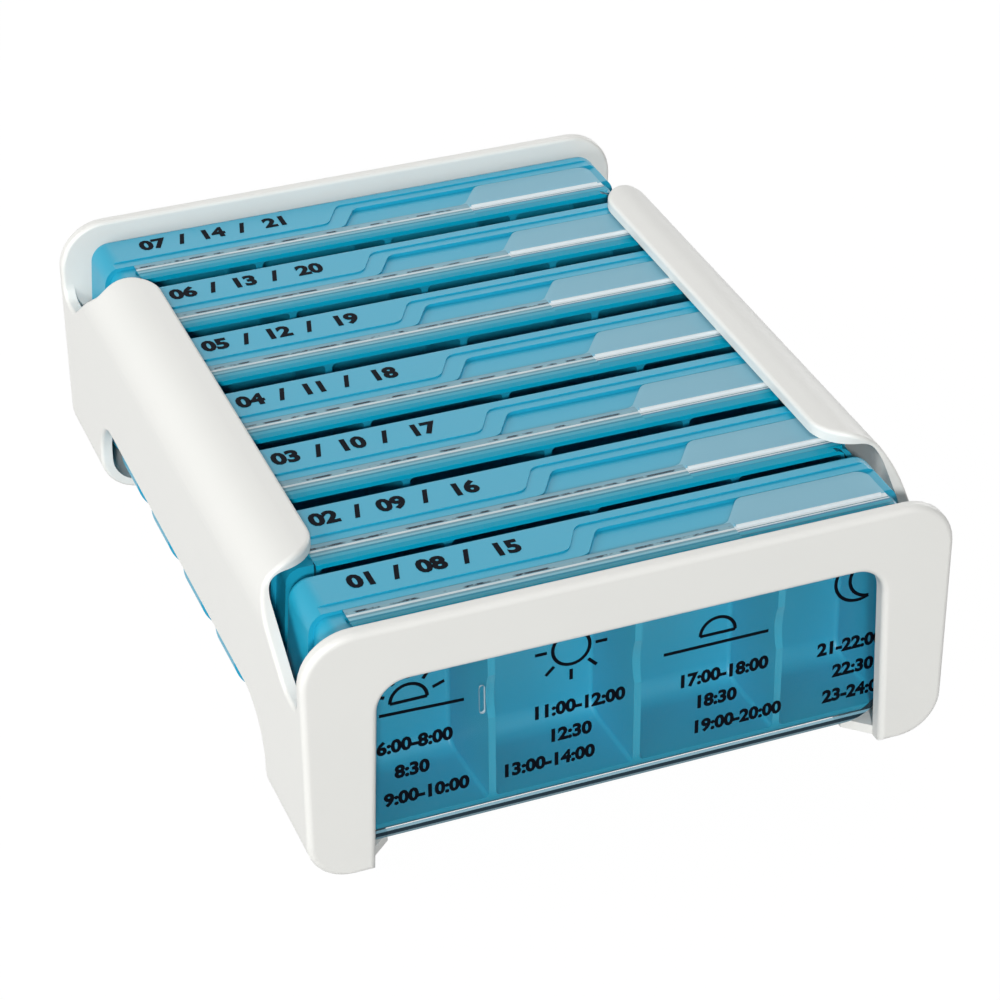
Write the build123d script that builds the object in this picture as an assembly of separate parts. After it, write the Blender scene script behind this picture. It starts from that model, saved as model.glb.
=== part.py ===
from build123d import *
import math
import os

# Weekly pill organizer: a white rack that holds seven day boxes standing on edge.
# Millimetres, +Z up, front towards -Y, origin at the centre of the footprint.

# Rack, driving dimensions
rack_width = 126.0
wall = 2.4                    # side walls and flanges
plate = 3.0                   # front and rear plates
rail = 2.0                    # rails at the foot that carry the boxes
top_radius = 10.0             # outer corners, seen from the front
bottom_radius = 8.5
inner_top_radius = 4.0        # inside corners under the flanges
plate_round = 1.2             # rounding of the plates' outer edges
edge_round = 0.8              # rounding of the notches, arches and flanges
flange_reach = 13.3           # from the outside of the rack to the inner edge of a flange
flange_corner = 8.5           # inner corners of the flanges, seen from above
rail_reach = 17.2             # from the outside of the rack to the inner edge of a rail
rail_flare = 4.2              # slanted end of a rail, beside its plate
arch_reach = 9.0              # how far an arch cuts in from the outside of the rack
arch_top = 20.4
arch_radius = 11.0
leg_length = 25.5
window_side = 12.6            # width of a plate beside its window, at the table
window_narrowing = 1.5        # how much wider it is at the top of the window
window_bar = 12.0             # height of a plate above its window
window_radius = 5.8
notch_depth = 16.1            # from the top of the rack to the floor of a notch
notch_floor = 7.3             # length of that floor
notch_radius = 3.0            # where it meets the plate
slope_radius = 8.0            # where it turns up into the slope
shoulder_depth = 4.1          # from the top of the rack to the end of the slope
shoulder_radius = 2.4
notch_clearance = 0.6         # between the flanges and the box that is lifted past them

# Day boxes, driving dimensions
box_gaps = [2.6, 1.0, 2.1, 1.9, 2.9, 2.5, 2.4, 1.5]    # free length before, between and behind them
box_height = 47.4
end_clearance = 0.7           # between the foot of a box and the side walls
top_clearance = 0.5           # between a box and the flanges
tray_depth = 17.5             # at the top
rear_draft = 1.2              # how much deeper the foot is
end_draft = 2.8               # how far each end leans in towards the top
tray_top_radius = 4.0
tray_foot_radius = 9.0
tray_rear_round = 1.5
partition = 1.4               # thickness of its front edge
partition_pitch = 28.6
partition_middle = 3.3        # place of the middle one of the three
left_end_wall = 7.3           # from the end of the tray's top to the first compartment
right_end_wall = 3.1
back_wall = 1.7
compartment_rim = 1.2         # wall between a compartment and the cover's webs
compartment_draft = 6.5       # degrees, on all four walls
compartment_corner = 0.9
compartment_floor_radius = 4.5    # where the floor turns up into the back

# Recesses for the cover
rebate_depth = 1.0            # all round the front of a tray
rebate_length = 5.2           # back from the tray's front edge
groove_start = 1.9            # groove for the cover's hook
groove_length = 1.6
groove_depth = 0.6
tab_margin = 5.2              # from the recess of the thumb tab to the tray's rear edge
tab_recess_foot = -4.6        # foot of the recess's curved left end
tab_recess_lean = 4.4
tab_recess_radius = 2.4
step_depth = 0.3              # shallow step round the recesses
step_border = 2.2
step_margin = 3.1
step_foot = -7.4
step_lean = 4.0
step_radius = 2.6

# Sliding cover, driving dimensions
cover_panel = 1.3             # clear front
cover_web = 0.6               # parts that reach over the tray
panel_clearance = 0.3
slide_clearance = 0.2
cover_left_inset = 6.1        # from the left end of the tray's top
cover_right_inset = 2.6
cover_left_radius = 1.0
cover_right_radius = 3.0
cover_foot_radius = 9.0
hook_length = 1.0
tab_inset = 3.3               # from the tab to the right end of the tray's top
tab_foot = 22.6               # foot of the tab's curved left end
tab_lean = 5.0
tab_radius = 2.4
tab_corner = 2.5
fold_width = 2.0              # raised fold along the front of the tab
fold_inset = 1.6              # from the middle of the fold to the back of the rebate
fold_height = 0.35
click_width = 1.1             # bump that clicks over the partitions
click_length = 6.2
click_height = 0.6
click_round = 0.3
click_drop = 22.6             # from the top of the box to the middle of the bump
click_lead = 1.9              # how far the bump stands to the left of the first partition
scoop_length = 9.4            # shallow scoop in the partitions' edges, for the bump
scoop_depth = 0.9

# Derived sizes
box_count = len(box_gaps) - 1
half_width = rack_width / 2
inside = half_width - wall
foot = rail
head = foot + box_height
ceiling = head + top_clearance
rack_height = ceiling + wall
tray_front = cover_panel + panel_clearance
tray_rear = tray_front + tray_depth
box_depth = tray_rear + rear_draft
half_depth = plate + (box_count * box_depth + sum(box_gaps)) / 2
notch_length = max(box_gaps[0], box_gaps[-1]) + box_depth + notch_clearance
tray_half_foot = inside - end_clearance
tray_half_head = tray_half_foot - end_draft
rebate_rear = tray_front + rebate_length
rebate_top = head - rebate_depth
rebate_foot = foot + rebate_depth
cover_left = cover_left_inset - tray_half_head
cover_right = tray_half_head - cover_right_inset
over = 1.0                    # how far a cutting shape stands proud of what it cuts
tiny = 0.01                   # within this, a point is on a surface


def along_x(section, low, high):
    return extrude(Plane.YZ.offset(low) * section, amount=high - low)


def along_y(section, low, high):
    return extrude(Plane.XZ.offset(-high) * section, amount=high - low)


def along_z(section, low, high):
    return extrude(Plane.XY.offset(low) * section, amount=high - low)


def polygon(*points):
    return make_face(Polyline(*points, close=True))


def on_both_ends(shape):
    return shape + mirror(shape, about=Plane.XZ)


def nearest_corner(section, x, y):
    return section.vertices().sort_by_distance(Vector(x, y, 0))[0]


def round_corner(section, x, y, radius):
    return fillet(nearest_corner(section, x, y), radius)


# Outline of a shell or tray from the front, with ends that may lean in
def end_outline(half_foot, half_head, low, high, foot_radius, head_radius):
    outline = polygon((-half_foot, low), (half_foot, low), (half_head, high), (-half_head, high))
    for side in (-1, 1):
        outline = round_corner(outline, side * half_foot, low, foot_radius)
        outline = round_corner(outline, side * half_head, high, head_radius)
    return outline


# Rack: one moulding
def make_rack():
    outer = end_outline(half_width, half_width, 0, rack_height, bottom_radius, top_radius)
    inner = end_outline(inside, inside, rail, ceiling, bottom_radius - wall, inner_top_radius)
    room = half_depth - plate
    rack = along_y(outer, -half_depth, half_depth) - along_y(inner, -room, room)
    rack -= on_both_ends(along_y(window(), -half_depth - over, -room))
    rack -= open_foot(room)
    plates = rack.faces().filter_by(Axis.Y).sort_by(Axis.Y)
    rack = fillet(plates[0].edges() + plates[-1].edges(), plate_round)
    rack = cut_and_round(rack, open_top(room) + on_both_ends(notch()))
    return cut_and_round(rack, arches())


# Cuts the rack and rounds the new edges that lie on its outside
def cut_and_round(body, cutter):
    opened = body - cutter
    fresh = new_edges(body, cutter, combined=opened)
    return fillet([edge for edge in fresh if is_outside(edge @ 0.5)], edge_round)


def is_outside(point):
    across = max(abs(point.X) - half_width + top_radius, 0)
    up = max(point.Z - rack_height + top_radius, 0)
    return abs(math.hypot(across, up) - top_radius) < tiny


# Open top between the flanges, whose corners curve outwards at both ends
def open_top(room):
    half = half_width - flange_reach
    wide = half + flange_corner
    end = room - notch_length
    straight = end - flange_corner
    front_curve = TangentArc((wide, -end), (half, -straight), tangent=(-1, 0))
    rear_curve = TangentArc((half, straight), (wide, end), tangent=(0, 1))
    rest = Polyline((wide, end), (wide, room), (0, room), (0, -room), (wide, -room), (wide, -end))
    edges = front_curve.edges() + Line(front_curve @ 1, rear_curve @ 0).edges()
    right = make_face(Wire(edges + rear_curve.edges() + rest.edges()))
    return along_z(right + mirror(right, about=Plane.YZ), ceiling - over, rack_height + over)


# Notch behind the front plate: the first box is lifted out here, the last one put back at the rear
def notch():
    start = -half_depth + plate
    end = start + notch_length
    floor = rack_height - notch_depth
    shoulder = rack_height - shoulder_depth
    bend = start + notch_floor
    above = rack_height + over
    side = polygon((start, above), (start, floor), (bend, floor), (end, shoulder), (end, above))
    side = round_corner(side, start, floor, notch_radius)
    side = round_corner(side, bend, floor, slope_radius)
    side = round_corner(side, end, shoulder, shoulder_radius)
    return along_x(side, -half_width - over, half_width + over)


def window():
    half_foot = half_width - window_side
    half_head = half_foot - window_narrowing
    top = rack_height - window_bar
    below = half_foot + window_narrowing * over / top
    outline = polygon((-below, -over), (below, -over), (half_head, top), (-half_head, top))
    outline = round_corner(outline, -half_head, top, window_radius)
    return round_corner(outline, half_head, top, window_radius)


# Open foot between the two rails, which widen the opening beside the plates
def open_foot(room):
    half = half_width - rail_reach
    wide = half_width - window_side
    straight = room - rail_flare
    quarter = [(wide, room), (half, straight)]
    right = [(x, -y) for x, y in quarter] + quarter[::-1]
    left = [(-x, -y) for x, y in right]
    return along_z(polygon(*right, *left), -over, rail + over)


def arches():
    run = half_depth - leg_length
    side = Rectangle(2 * run, 2 * arch_top)
    side = round_corner(side, -run, arch_top, arch_radius)
    side = round_corner(side, run, arch_top, arch_radius)
    deep = half_width - arch_reach
    return along_x(side, deep, half_width + over) + along_x(side, -half_width - over, -deep)


# Day tray, with its box's front at y = 0
def make_tray():
    outline = end_outline(tray_half_foot, tray_half_head, foot, head, tray_foot_radius, tray_top_radius)
    side = polygon((rebate_rear, foot), (box_depth, foot), (tray_rear, head), (rebate_rear, head))
    tray = along_y(outline, rebate_rear, box_depth) & along_x(side, -half_width, half_width)
    rear = tray.faces().sort_by(Axis.Y)[-1]
    tray = fillet(rear.edges(), tray_rear_round)
    tray += along_y(front_outline(), tray_front, rebate_rear)
    tray -= along_z(step_plan(), head - step_depth, head + over)
    tray -= along_z(recess_plan(), rebate_top, head + over)
    tray -= hook_grooves()
    for left, right in compartments():
        tray -= compartment(left, right)
    return tray - scoop()


# The front of the tray is smaller all round by the rebate
def front_outline():
    return end_outline(tray_half_foot - rebate_depth, tray_half_head - rebate_depth, rebate_foot,
                       rebate_top, tray_foot_radius - rebate_depth, tray_top_radius - rebate_depth)


# A line that runs right, leans up over the run to the other height and runs right again
def leaning_line(left, foot_x, foot_y, run, head_y, right, radius):
    points = [(left, foot_y), (foot_x, foot_y), (foot_x + run, head_y), (right, head_y)]
    return FilletPolyline(*points, radius=radius)


# Room for the thumb tab, from above
def recess_plan():
    edge = leaning_line(-half_width, tab_recess_foot, rebate_rear, tab_recess_lean,
                        tray_rear - tab_margin, half_width, tab_recess_radius)
    return closed_at_front(edge, 0)


def step_plan():
    edge = leaning_line(-half_width, step_foot, rebate_rear + step_border, step_lean,
                        tray_rear - step_margin, half_width, step_radius)
    return closed_at_front(edge, 0)


def closed_at_front(edge, front):
    left = edge @ 0
    right = edge @ 1
    rest = Polyline((right.X, right.Y), (right.X, front), (left.X, front), (left.X, left.Y))
    return make_face(Wire([*edge.edges(), *rest.edges()]))


def strip(left, right, front, rear):
    return polygon((left, front), (right, front), (right, rear), (left, rear))


def hook_grooves():
    start = tray_front + groove_start
    plan = strip(cover_left - slide_clearance, tray_half_foot + over, start, start + groove_length)
    upper = along_z(plan, rebate_top - groove_depth, rebate_top + over)
    lower = along_z(plan, rebate_foot - over, rebate_foot + groove_depth)
    return upper + lower


def partition_places():
    return [partition_middle + partition_pitch * step for step in (-1, 0, 1)]


# Left and right side of each compartment's mouth
def compartments():
    edges = [left_end_wall - tray_half_head]
    for place in partition_places():
        edges += [place - partition / 2, place + partition / 2]
    edges.append(tray_half_head - right_end_wall)
    return list(zip(edges[::2], edges[1::2]))


def compartment(left, right):
    low = rebate_foot + compartment_rim
    high = rebate_top - compartment_rim
    mouth = Pos((left + right) / 2, (low + high) / 2) * Rectangle(right - left, high - low)
    pocket = extrude(Plane.XZ.offset(-tray_front) * mouth, amount=-(tray_depth - back_wall),
                     taper=compartment_draft)
    back = pocket.faces().sort_by(Axis.Y)[-1]
    pocket = fillet(back.edges().sort_by(Axis.Z)[0], compartment_floor_radius)
    deep = pocket.edges().filter_by_position(Axis.Y, tray_front + tiny, tray_rear)
    return fillet(deep - deep.filter_by(Axis.X), compartment_corner)


# Shallow scoop across the partitions' front edges
def scoop():
    radius = ((scoop_length / 2) ** 2 + scoop_depth ** 2) / (2 * scoop_depth)
    centre = Pos(tray_front + scoop_depth - radius, head - click_drop)
    places = partition_places()
    reach = partition_pitch / 2
    return along_x(centre * Circle(radius), places[0] - reach, places[-1] + reach)


# Sliding cover, in front of its tray
def make_cover():
    low = rebate_foot - slide_clearance - cover_web
    high = rebate_top + slide_clearance + cover_web
    panel = polygon((cover_left, low), (cover_right, low), (cover_right, high), (cover_left, high))
    panel = round_corner(panel, cover_left, low, cover_left_radius)
    panel = round_corner(panel, cover_left, high, cover_left_radius)
    panel = round_corner(panel, cover_right, low, cover_foot_radius)
    panel = round_corner(panel, cover_right, high, cover_right_radius)
    cover = along_y(panel, 0, cover_panel)
    hook_front = tray_front + groove_start + (groove_length - hook_length) / 2
    for radius, web_low, hook_low, hook_high in (
            (cover_foot_radius, low, low, rebate_foot + groove_depth - slide_clearance),
            (cover_right_radius, high - cover_web, rebate_top - groove_depth + slide_clearance, high)):
        right = cover_right - radius
        web = strip(cover_left, right, 0, rebate_rear - slide_clearance)
        hook = strip(cover_left, right, hook_front, hook_front + hook_length)
        cover += along_z(web, web_low, web_low + cover_web)
        cover += along_z(hook, hook_low, hook_high)
    cover += along_z(tab_plan(), high - cover_web, high)
    return cover + fold(high) + click_bump()


# Thumb tab from above: a curved left end, as in the tray's recess, and a rounded right one
def tab_plan():
    front = rebate_rear - slide_clearance
    rear = tray_rear - tab_margin - panel_clearance
    right = tray_half_head - tab_inset
    edge = leaning_line(tab_foot - tab_lean, tab_foot, front, tab_lean, rear, right, tab_radius)
    return round_corner(closed_at_front(edge, cover_panel), right, rear, tab_corner)


def fold(high):
    middle = rebate_rear - fold_inset
    base = high - cover_web / 2
    ridge = polygon((middle - fold_width / 2, base), (middle - fold_width / 4, high + fold_height),
                    (middle + fold_width / 4, high + fold_height), (middle + fold_width / 2, base))
    margin = fold_width / 2
    return along_x(ridge, tab_foot + margin, tray_half_head - tab_inset - margin)


def click_bump():
    place = partition_places()[0] - click_lead
    outline = Pos(place, head - click_drop) * SlotOverall(click_length, click_width, rotation=90)
    bump = along_y(outline, cover_panel / 2, cover_panel + click_height)
    tip = bump.faces().sort_by(Axis.Y)[-1]
    return fillet(tip.edges(), click_round)


os.makedirs("parts", exist_ok=True)
export_step(make_rack(), "parts/rack.step")
tray = make_tray()
cover = make_cover()
place = -half_depth + plate
for number, gap in enumerate(box_gaps[:-1], start=1):
    place += gap
    export_step(Pos(0, place, 0) * tray, f"parts/day_tray_{number}.step")
    export_step(Pos(0, place, 0) * cover, f"parts/sliding_cover_{number}.step")
    place += box_depth
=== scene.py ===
import bmesh
import bpy
import math
from mathutils import Matrix, Vector


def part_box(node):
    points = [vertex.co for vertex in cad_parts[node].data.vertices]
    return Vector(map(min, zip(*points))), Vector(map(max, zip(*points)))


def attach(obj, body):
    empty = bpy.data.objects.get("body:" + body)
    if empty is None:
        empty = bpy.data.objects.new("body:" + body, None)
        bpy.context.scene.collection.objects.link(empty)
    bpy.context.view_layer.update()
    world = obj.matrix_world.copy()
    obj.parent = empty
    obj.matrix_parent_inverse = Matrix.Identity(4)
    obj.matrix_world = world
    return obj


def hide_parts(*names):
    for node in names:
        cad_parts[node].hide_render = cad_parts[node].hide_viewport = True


# Weekly pill organizer: white rack, seven blue day boxes and their clear sliding covers
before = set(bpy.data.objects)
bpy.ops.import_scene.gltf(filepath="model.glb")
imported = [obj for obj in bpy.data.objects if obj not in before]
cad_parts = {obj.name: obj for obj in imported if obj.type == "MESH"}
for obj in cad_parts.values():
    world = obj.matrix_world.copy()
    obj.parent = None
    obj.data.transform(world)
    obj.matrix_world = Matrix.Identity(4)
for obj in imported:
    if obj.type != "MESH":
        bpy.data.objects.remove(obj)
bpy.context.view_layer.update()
scene = bpy.context.scene
scene.view_settings.view_transform = "Standard"
mm = 0.001
days = range(1, 8)
print("frame loaded:", len(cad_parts), "nodes")

# Target and distance in mm, angles in degrees, found from the straight edges of the rack
camera = {"target": (7.29, 4.57, 12.94), "azimuth": -21.01, "elevation": 32.916, "roll": -0.486,
          "distance": 633.34, "lens": 111.2, "sensor": 36, "clip": (0.01, 50)}


def makeCamera():
    across = math.radians(camera["azimuth"])
    up = math.radians(camera["elevation"])
    back = Vector((math.sin(across) * math.cos(up), -math.cos(across) * math.cos(up), math.sin(up)))
    right = Vector((math.cos(across), math.sin(across), 0))
    axes = Matrix((right, back.cross(right), back)).transposed()
    turn = axes @ Matrix.Rotation(math.radians(camera["roll"]), 3, "Z")
    place = (Vector(camera["target"]) + back * camera["distance"]) * mm
    obj = bpy.data.objects.new("camera", bpy.data.cameras.new("camera"))
    obj.data.lens = camera["lens"]
    obj.data.sensor_width = camera["sensor"]
    obj.data.clip_start, obj.data.clip_end = camera["clip"]
    obj.matrix_world = Matrix.Translation(place) @ turn.to_4x4()
    scene.collection.objects.link(obj)
    scene.camera = obj


makeCamera()

# A lamp's level is what it adds to the render on a white surface that faces it
lamps = {"front": {"towards": (-0.29, -0.836, 0.466), "distance": 4, "size": 0.36, "level": 0.65},
         "leftFront": {"towards": (-0.75, -0.64, 0.15), "distance": 2, "size": 0.9, "level": 0.26},
         "leftTop": {"towards": (-0.86, 0.1, 0.5), "distance": 1.3, "size": 0.8, "level": 0.42},
         "top": {"towards": (0.05, 0.35, 0.93), "distance": 1.5, "size": 0.9, "level": 0.09},
         "back": {"towards": (0.3, 0.78, 0.54), "distance": 1.2, "size": 0.86, "level": 0.13},
         "rightFill": {"towards": (0.8, 0.55, 0.25), "distance": 1.5, "size": 0.8, "level": 0.25}}
sky = 0.1

# The floor takes shadows on matt grey paper, laid over with white for the camera and for reflections
floor = {"half": 4, "below": 0.0001, "grey": 0.36, "white": 1.05, "share": 0.94}


def makeLamp(name, lamp):
    light = bpy.data.lights.new(name, "AREA")
    light.shape = "DISK"
    light.size = lamp["size"]
    light.energy = lamp["level"] * math.pi ** 2 * lamp["distance"] ** 2
    towards = Vector(lamp["towards"]).normalized()
    turn = towards.to_track_quat("Z", "Y").to_matrix().to_4x4()
    obj = bpy.data.objects.new(name, light)
    obj.matrix_world = Matrix.Translation(towards * lamp["distance"]) @ turn
    scene.collection.objects.link(obj)


for name, lamp in lamps.items():
    makeLamp(name, lamp)


def newNodes(owner):
    owner.use_nodes = True
    owner.node_tree.nodes.clear()
    return owner.node_tree.nodes, owner.node_tree.links


# 1 for rays from the camera and for reflections, 0 for the light that falls on things
def seenShare(nodes, links):
    path = nodes.new("ShaderNodeLightPath")
    share = path.outputs["Is Camera Ray"]
    for ray in ("Is Glossy Ray", "Is Transmission Ray"):
        either = nodes.new("ShaderNodeMath")
        either.operation = "MAXIMUM"
        links.new(share, either.inputs[0])
        links.new(path.outputs[ray], either.inputs[1])
        share = either.outputs[0]
    return share


def makeSky():
    world = bpy.data.worlds.new("sky")
    scene.world = world
    nodes, links = newNodes(world)
    plain = nodes.new("ShaderNodeBackground")
    plain.inputs["Color"].default_value = (1, 1, 1, 1)
    plain.inputs["Strength"].default_value = sky
    white = nodes.new("ShaderNodeBackground")
    white.inputs["Color"].default_value = (1, 1, 1, 1)
    mix = nodes.new("ShaderNodeMixShader")
    out = nodes.new("ShaderNodeOutputWorld")
    links.new(seenShare(nodes, links), mix.inputs[0])
    links.new(plain.outputs[0], mix.inputs[1])
    links.new(white.outputs[0], mix.inputs[2])
    links.new(mix.outputs[0], out.inputs[0])


def makeFloor():
    bm = bmesh.new()
    bmesh.ops.create_grid(bm, x_segments=1, y_segments=1, size=floor["half"])
    bmesh.ops.translate(bm, verts=bm.verts, vec=(0, 0, -floor["below"]))
    mesh = bpy.data.meshes.new("floor")
    bm.to_mesh(mesh)
    bm.free()
    obj = bpy.data.objects.new("floor", mesh)
    scene.collection.objects.link(obj)
    paper = bpy.data.materials.new("floorPaper")
    nodes, links = newNodes(paper)
    matt = nodes.new("ShaderNodeBsdfDiffuse")
    matt.inputs["Color"].default_value = (floor["grey"],) * 3 + (1,)
    white = nodes.new("ShaderNodeEmission")
    white.inputs["Strength"].default_value = floor["white"]
    share = nodes.new("ShaderNodeMath")
    share.operation = "MULTIPLY"
    share.inputs[1].default_value = floor["share"]
    mix = nodes.new("ShaderNodeMixShader")
    out = nodes.new("ShaderNodeOutputMaterial")
    links.new(seenShare(nodes, links), share.inputs[0])
    links.new(share.outputs[0], mix.inputs[0])
    links.new(matt.outputs[0], mix.inputs[1])
    links.new(white.outputs[0], mix.inputs[2])
    links.new(mix.outputs[0], out.inputs[0])
    mesh.materials.append(paper)


makeSky()
makeFloor()
print("camera, lamps and floor made")


# A colour of 0 to 255, as a picture holds it, turned into shares of light
def linear(colour):
    return tuple(((c / 255 + 0.055) / 1.055) ** 2.4 if c > 10 else c / 3295 for c in colour) + (1,)


# Moulded plastic: a faint mottle in its colour and gloss, and a fine skin from the mould.
# With "dashes" the mottle is sharp, for a line that breaks up into bright and dark.
# A look gives only what differs from these
plainLook = {"mottleScale": 60, "dashes": 0.5, "skinScale": 1400, "skin": 0.1, "ior": 1.49, "specular": 0.5,
             "alpha": 1}


def makePlastic(name, given):
    look = {**plainLook, **given}
    material = bpy.data.materials.new(name)
    nodes, links = newNodes(material)
    shader = nodes.new("ShaderNodeBsdfPrincipled")
    out = nodes.new("ShaderNodeOutputMaterial")
    links.new(shader.outputs[0], out.inputs[0])
    place = nodes.new("ShaderNodeTexCoord").outputs["Object"]
    mottle = nodes.new("ShaderNodeTexNoise")
    mottle.inputs["Scale"].default_value = look["mottleScale"]
    mottle.inputs["Detail"].default_value = 3
    links.new(place, mottle.inputs["Vector"])
    spread = nodes.new("ShaderNodeMapRange")
    half = look["dashes"]
    spread.inputs["From Min"].default_value = 0.5 - half
    spread.inputs["From Max"].default_value = 0.5 + half
    links.new(mottle.outputs["Fac"], spread.inputs["Value"])
    tint = nodes.new("ShaderNodeMix")
    tint.data_type = "RGBA"
    tint.inputs["A"].default_value = linear(look["colour"])
    tint.inputs["B"].default_value = linear(look.get("colourB", look["colour"]))
    links.new(spread.outputs["Result"], tint.inputs["Factor"])
    links.new(tint.outputs["Result"], shader.inputs["Base Color"])
    gloss = nodes.new("ShaderNodeMapRange")
    gloss.inputs["To Min"].default_value = look["roughness"] - 0.04
    gloss.inputs["To Max"].default_value = look["roughness"] + 0.04
    links.new(mottle.outputs["Fac"], gloss.inputs["Value"])
    links.new(gloss.outputs["Result"], shader.inputs["Roughness"])
    skin = nodes.new("ShaderNodeTexNoise")
    skin.inputs["Scale"].default_value = look["skinScale"]
    skin.inputs["Detail"].default_value = 2
    links.new(place, skin.inputs["Vector"])
    bump = nodes.new("ShaderNodeBump")
    bump.inputs["Strength"].default_value = look["skin"]
    bump.inputs["Distance"].default_value = 0.00005
    links.new(skin.outputs["Fac"], bump.inputs["Height"])
    links.new(bump.outputs[0], shader.inputs["Normal"])
    shader.inputs["IOR"].default_value = look["ior"]
    shader.inputs["Specular IOR Level"].default_value = look["specular"]
    shader.inputs["Alpha"].default_value = look["alpha"]
    return material


rackWhite = makePlastic("rackWhite", {"colour": (231, 231, 227), "colourB": (234, 234, 230),
                                      "roughness": 0.42, "skin": 0.12})
trayBlue = makePlastic("trayBlue", {"colour": (24, 158, 190), "colourB": (28, 163, 195),
                                    "roughness": 0.4, "skin": 0.1})
ink = makePlastic("ink", {"colour": (2, 5, 13), "colourB": (5, 9, 19), "roughness": 0.55, "skin": 0.1,
                          "specular": 0.1, "ior": 1.25})


def dress(obj, material):
    obj.data.materials.clear()
    obj.data.materials.append(material)


dress(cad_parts["rack"], rackWhite)
for day in days:
    dress(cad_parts[f"day_tray_{day}"], trayBlue)
print("rack and trays dressed")


def addObject(name, bm, body, *materials):
    mesh = bpy.data.meshes.new(name)
    bm.to_mesh(mesh)
    bm.free()
    for material in materials:
        mesh.materials.append(material)
    obj = bpy.data.objects.new(name, mesh)
    scene.collection.objects.link(obj)
    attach(obj, body)
    return obj


# A thin painted line of light and shade on the clear cover, where it bends and reflects light
def caught(colour, **given):
    return {"colour": colour, "roughness": 0.2, "alpha": 0.9, "specular": 0.15, **given}


# Looks of the clear cover: its web and its foot show as fine lines. Panel and tab are its own clear
# and frosted plastic. The other looks are painted highlights, reflections, sheen and shade; edge is
# partly the plastic's own tint
looks = {"panel": {"colour": (6, 12, 14), "roughness": 0.1, "skin": 0.02, "alpha": 0.05, "specular": 1},
         # Painted sheen: a faint grey-blue layer on the front over the compartments, for the reflection in it
         "window": {"colour": (150, 170, 176), "roughness": 0.1, "skin": 0.02, "alpha": 0.06, "specular": 1},
         # Painted light: the lit cyan of the tray's rim, seen through the cover's top and its front in the
         # gaps
         "clear": {"colour": (0, 186, 222), "roughness": 0.2, "skin": 0.05, "alpha": 0.6, "specular": 0.1},
         # Cut edges in dark teal: partly the plastic's tint, partly painted shade
         "edge": {"colour": (30, 70, 84), "roughness": 0.1, "skin": 0.02, "alpha": 0.55},
         "tab": {"colour": (160, 224, 247), "roughness": 0.5, "skin": 0.3, "alpha": 0.6},
         # Painted highlight along the fold
         "fold": {"colour": (226, 235, 238), "roughness": 0.3, "alpha": 0.9},
         # Painted sheen: light grey-blue lines for light that the cover's web and foot reflect
         "paintedSheen": caught((126, 174, 192)),
         # Painted reflection: a line broken into dark and bright dashes
         "dashes": caught((26, 46, 60), colourB=(140, 180, 192), mottleScale=330, dashes=0.05, roughness=0.15,
                          alpha=0.85),
         # Painted highlight: near-white lines, and the sides of the bump
         "bright": caught((206, 224, 230), colourB=(230, 238, 240), mottleScale=200, dashes=0.2, alpha=0.85,
                          specular=0.3),
         # Painted lines: pale is a painted highlight; dusk, violet, shade and deep are painted shade; wash is
         # the lit tray
         "dusk": caught((108, 160, 176)),
         # seen through the cover
         "pale": caught((132, 194, 210)),
         "violet": caught((74, 140, 168)),
         "shade": caught((104, 138, 150)),
         "deep": caught((34, 140, 168)),
         "wash": caught((60, 176, 202), alpha=0.85),
         # Painted shadow: near black
         "dark": {"colour": (24, 46, 58), "roughness": 0.3, "skin": 0.02, "alpha": 0.99, "specular": 0.1}}
lookNames = list(looks)
coverLooks = [makePlastic(f"cover_{name}", look) for name, look in looks.items()]

# Where each painted line of light and shade ends, in mm: on the web and on the tab behind the cover's front,
# at the foot in height
webLines = ((1.5, "clear"), (2.4, "wash"), (2.95, "deep"), (3.55, "pale"), (4.15, "dusk"), (4.75, "bright"),
            (4.95, "paintedSheen"), (5.55, "dashes"), (6.4, "paintedSheen"), (6.6, "dusk"))
tabLines = ((1.8, "clear"), (2.0, "deep"), (2.85, "wash"), (3.3, "violet"), (3.65, "bright"), (3.9, "shade"),
            (5.1, "fold"), (6.6, "tab"))
footLines = ((2.65, "shade"), (3.5, "dark"), (4.15, "paintedSheen"))

# Where the forms of a cover end: depths behind its front, heights and places across, in mm
shell = {"panel": 1.3, "foldRear": 5.1, "tab": 6.6, "tabStart": 23.2, "bump": (-28.4, -26.0), "margin": 0.02,
         "window": 46.5, "front": 48.3, "webTop": 49.15, "foldTop": 49.25}
# Parts of a face's normal, for faces that lean forwards, point sideways or up, or lie across the front
facing = {"forwards": 0.1, "aside": 0.5, "upwards": 0.5, "front": 0.7}
# Meshes: points closer than merge and cut become one, in m, faces within flat are joined, in degrees
meshing = {"merge": 0.000002, "cut": 0.000001, "flat": 0.5, "crease": 30}


def lineLook(lines, place):
    for end, name in lines:
        if place < end:
            return name
    return "panel"


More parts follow.
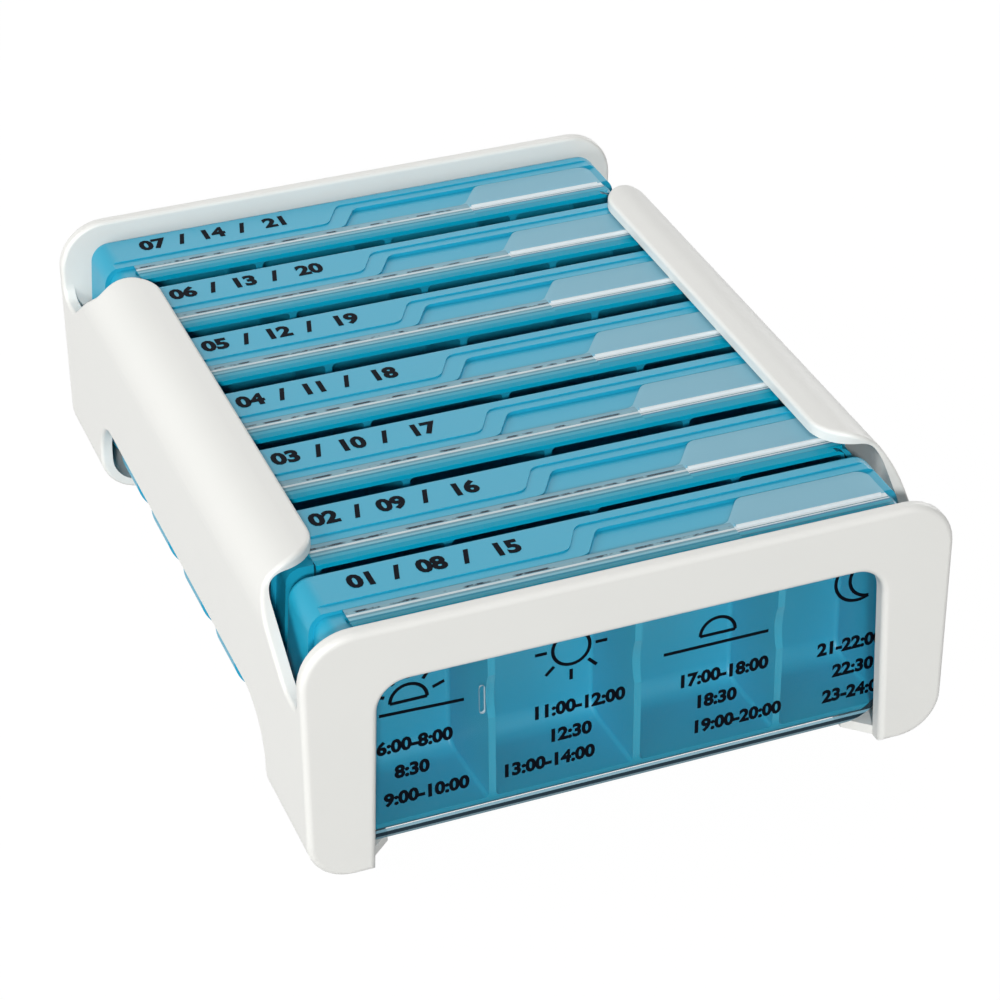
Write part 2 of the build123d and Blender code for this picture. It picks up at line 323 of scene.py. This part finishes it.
def coverLook(normal, x, depth, height):
    onTop = height > shell["webTop"]
    inPanel = depth < shell["panel"]
    # The fold takes the painted highlight; the frosted tab behind it keeps its own colour
    if onTop and (normal.z < facing["upwards"] or height > shell["foldTop"]):
        return "tab" if depth > shell["foldRear"] else "fold"
    # The panel's side ends take a near-black painted shadow line
    if inPanel and abs(normal.x) > facing["aside"]:
        return "dark"
    # Painted lines of light and shade on the web and the tab
    if onTop and depth <= shell["tab"]:
        return lineLook(tabLines if x > shell["tabStart"] else webLines, depth)
    if depth > shell["tab"]:
        return "tab" if onTop else "edge"
    # Painted lines of light and shade at the foot
    if normal.y < -facing["forwards"] and height < footLines[-1][0]:
        return lineLook(footLines, height)
    # Front faces in the gaps between boxes take the painted lit rim
    if normal.y < -facing["front"] and height > shell["front"]:
        return "clear"
    # The bump's sides take the painted highlight
    inBump = shell["bump"][0] < x < shell["bump"][1]
    if inBump and depth > shell["panel"] + shell["margin"]:
        return "bright" if abs(normal.y) < facing["front"] else "panel"
    # The panel's top and bottom faces: dark teal edges, partly tint, partly painted shade
    if inPanel and abs(normal.y) < facing["front"]:
        return "edge"
    # Front faces over the compartments take the faint painted sheen
    return "window" if height < shell["window"] and normal.y < -facing["front"] else "panel"


# Planes that part the looks of a cover: the way each one faces and its place along it, in mm
def coverCuts(front):
    right, rear, up = Vector((1, 0, 0)), Vector((0, 1, 0)), Vector((0, 0, 1))
    cuts = [(rear, front + end) for end, look in webLines]
    cuts += [(up, end) for end, look in footLines]
    cuts += [(rear, front + shell["foldRear"]), (right, shell["tabStart"])]
    cuts += [(up, shell["front"]), (up, shell["window"])]
    cuts += [(rear, front + end) for end, look in tabLines]
    return cuts


# The clear cover as one piece, its faces shared out between its looks
def coverShell(day):
    name = f"sliding_cover_{day}"
    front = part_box(name)[0].y / mm
    bm = bmesh.new()
    bm.from_mesh(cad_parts[name].data)
    bmesh.ops.remove_doubles(bm, verts=bm.verts, dist=meshing["merge"])
    bmesh.ops.dissolve_limit(bm, angle_limit=math.radians(meshing["flat"]), verts=bm.verts, edges=bm.edges)
    for normal, place in coverCuts(front):
        bmesh.ops.bisect_plane(bm, geom=bm.verts[:] + bm.edges[:] + bm.faces[:], dist=meshing["cut"],
                               plane_co=normal * (place * mm), plane_no=normal)
    for face in bm.faces:
        middle = face.calc_center_median() / mm
        look = coverLook(face.normal, middle.x, middle.y - front, middle.z)
        face.material_index = lookNames.index(look)
        face.smooth = True
    for edge in bm.edges:
        edge.smooth = edge.calc_face_angle(0) < math.radians(meshing["crease"])
    obj = addObject(f"coverShell_{day}", bm, name, *coverLooks)
    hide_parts(name)


for day in days:
    coverShell(day)
print("covers made")


# Print, in mm. A digit of the font is that share of its size tall, and bold widens its strokes
font = {"digit": 0.73, "bold": 0.05, "steps": 3}


def curveMesh(curve, scale):
    holder = bpy.data.objects.new(curve.name, curve)
    scene.collection.objects.link(holder)
    bpy.context.view_layer.update()
    mesh = bpy.data.meshes.new_from_object(holder)
    bpy.data.objects.remove(holder)
    mesh.transform(Matrix.Scale(scale, 4))
    return mesh


def textShape(words, height):
    curve = bpy.data.curves.new("words", "FONT")
    curve.body = words
    curve.resolution_u = font["steps"]
    curve.offset = font["bold"]
    return curveMesh(curve, height * mm / font["digit"])


def printOn(bm, mesh, place):
    before = set(bm.verts)
    bm.from_mesh(mesh)
    bmesh.ops.transform(bm, matrix=place, verts=[v for v in bm.verts if v not in before])
    bpy.data.meshes.remove(mesh)


# The three numbers on a tray and the strokes between them. Their foot is that far behind the cover's front
label = {"height": 4.0, "foot": 12.0, "lift": 0.04, "places": (-47.6, -39.2, -34.6, -26.0, -20.4)}


def trayLabel(day):
    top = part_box(f"day_tray_{day}")[1].z / mm
    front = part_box(f"sliding_cover_{day}")[0].y / mm
    bm = bmesh.new()
    words = (f"{day:02d}", "/", f"{day + 7:02d}", "/", f"{day + 14:02d}")
    for word, x in zip(words, label["places"]):
        place = Vector((x, front + label["foot"], top + label["lift"])) * mm
        printOn(bm, textShape(word, label["height"]), Matrix.Translation(place))
    addObject(f"trayLabel_{day}", bm, f"day_tray_{day}", ink)


for day in days:
    trayLabel(day)

# Three hours for each compartment: left end, foot, words
hours = {"height": 2.8, "lift": 0.05,
         "lines": ((-47.9, 21.0, "6:00-8:00"), (-44.6, 15.1, "8:30"), (-46.8, 9.2, "9:00-10:00"),
                   (-18.2, 20.7, "11:00-12:00"), (-15.0, 14.8, "12:30"), (-24.1, 9.3, "13:00-14:00"),
                   (10.6, 19.9, "17:00-18:00"), (14.1, 14.4, "18:30"), (13.7, 8.7, "19:00-20:00"),
                   (39.0, 19.5, "21-22:00"), (42.4, 13.9, "22:30"), (40.6, 8.3, "23-24:00"))}


def arc(x, z, radius, start, end, steps):
    turns = [math.radians(start + (end - start) * i / steps) for i in range(steps + 1)]
    return [(x + radius * math.cos(a), z + radius * math.sin(a)) for a in turns]


def rays(x, z, inner, outer, angles):
    return [arc(x, z, inner, a, a, 1)[:1] + arc(x, z, outer, a, a, 1)[:1] for a in angles]


# Signs for the times of day: low sun, high sun, setting sun and moon, as lines that are laid flat
signs = {"width": 0.7, "flat": 0.1,
         "lines": [arc(-41.6, 31.7, 3.5, 0, 180, 16), [(-45.1, 31.7), (-38.1, 31.7)],
                   [(-47.2, 29.6), (-31.2, 29.0)], *rays(-41.6, 31.7, 4.8, 7.2, (20, 55, 90, 125, 160)),
                   arc(-10.6, 34.8, 3.6, 0, 360, 28), *rays(-10.6, 34.8, 4.7, 7.0, range(0, 360, 45)),
                   arc(18.3, 30.4, 3.5, 0, 180, 16), [(14.8, 30.4), (21.8, 30.4)],
                   [(7.6, 28.2), (28.6, 28.2)],
                   arc(46.6, 35.0, 4.6, 60, 300, 24), arc(48.9, 35.0, 3.99, 90, 270, 18)]}


def signShape():
    curve = bpy.data.curves.new("signs", "CURVE")
    curve.dimensions = "3D"
    curve.bevel_depth = signs["width"] / 2
    curve.bevel_resolution = 1
    curve.use_fill_caps = True
    for line in signs["lines"]:
        spline = curve.splines.new("POLY")
        spline.points.add(len(line) - 1)
        for point, (x, z) in zip(spline.points, line):
            point.co = (x, z, 0, 1)
    return curveMesh(curve, mm)


def coverPrint(day):
    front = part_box(f"sliding_cover_{day}")[0].y / mm
    bm = bmesh.new()
    upright = Matrix.Rotation(math.radians(90), 4, "X")
    for x, z, words in hours["lines"]:
        place = Vector((x, front - hours["lift"], z)) * mm
        printOn(bm, textShape(words, hours["height"]), Matrix.Translation(place) @ upright)
    flat = Matrix.Scale(signs["flat"], 4, (0, 1, 0))
    printOn(bm, signShape(), Matrix.Translation((0, (front - hours["lift"]) * mm, 0)) @ flat @ upright)
    obj = addObject(f"coverPrint_{day}", bm, f"sliding_cover_{day}", ink)
    obj.visible_shadow = False


for day in days:
    coverPrint(day)
print("print laid on")
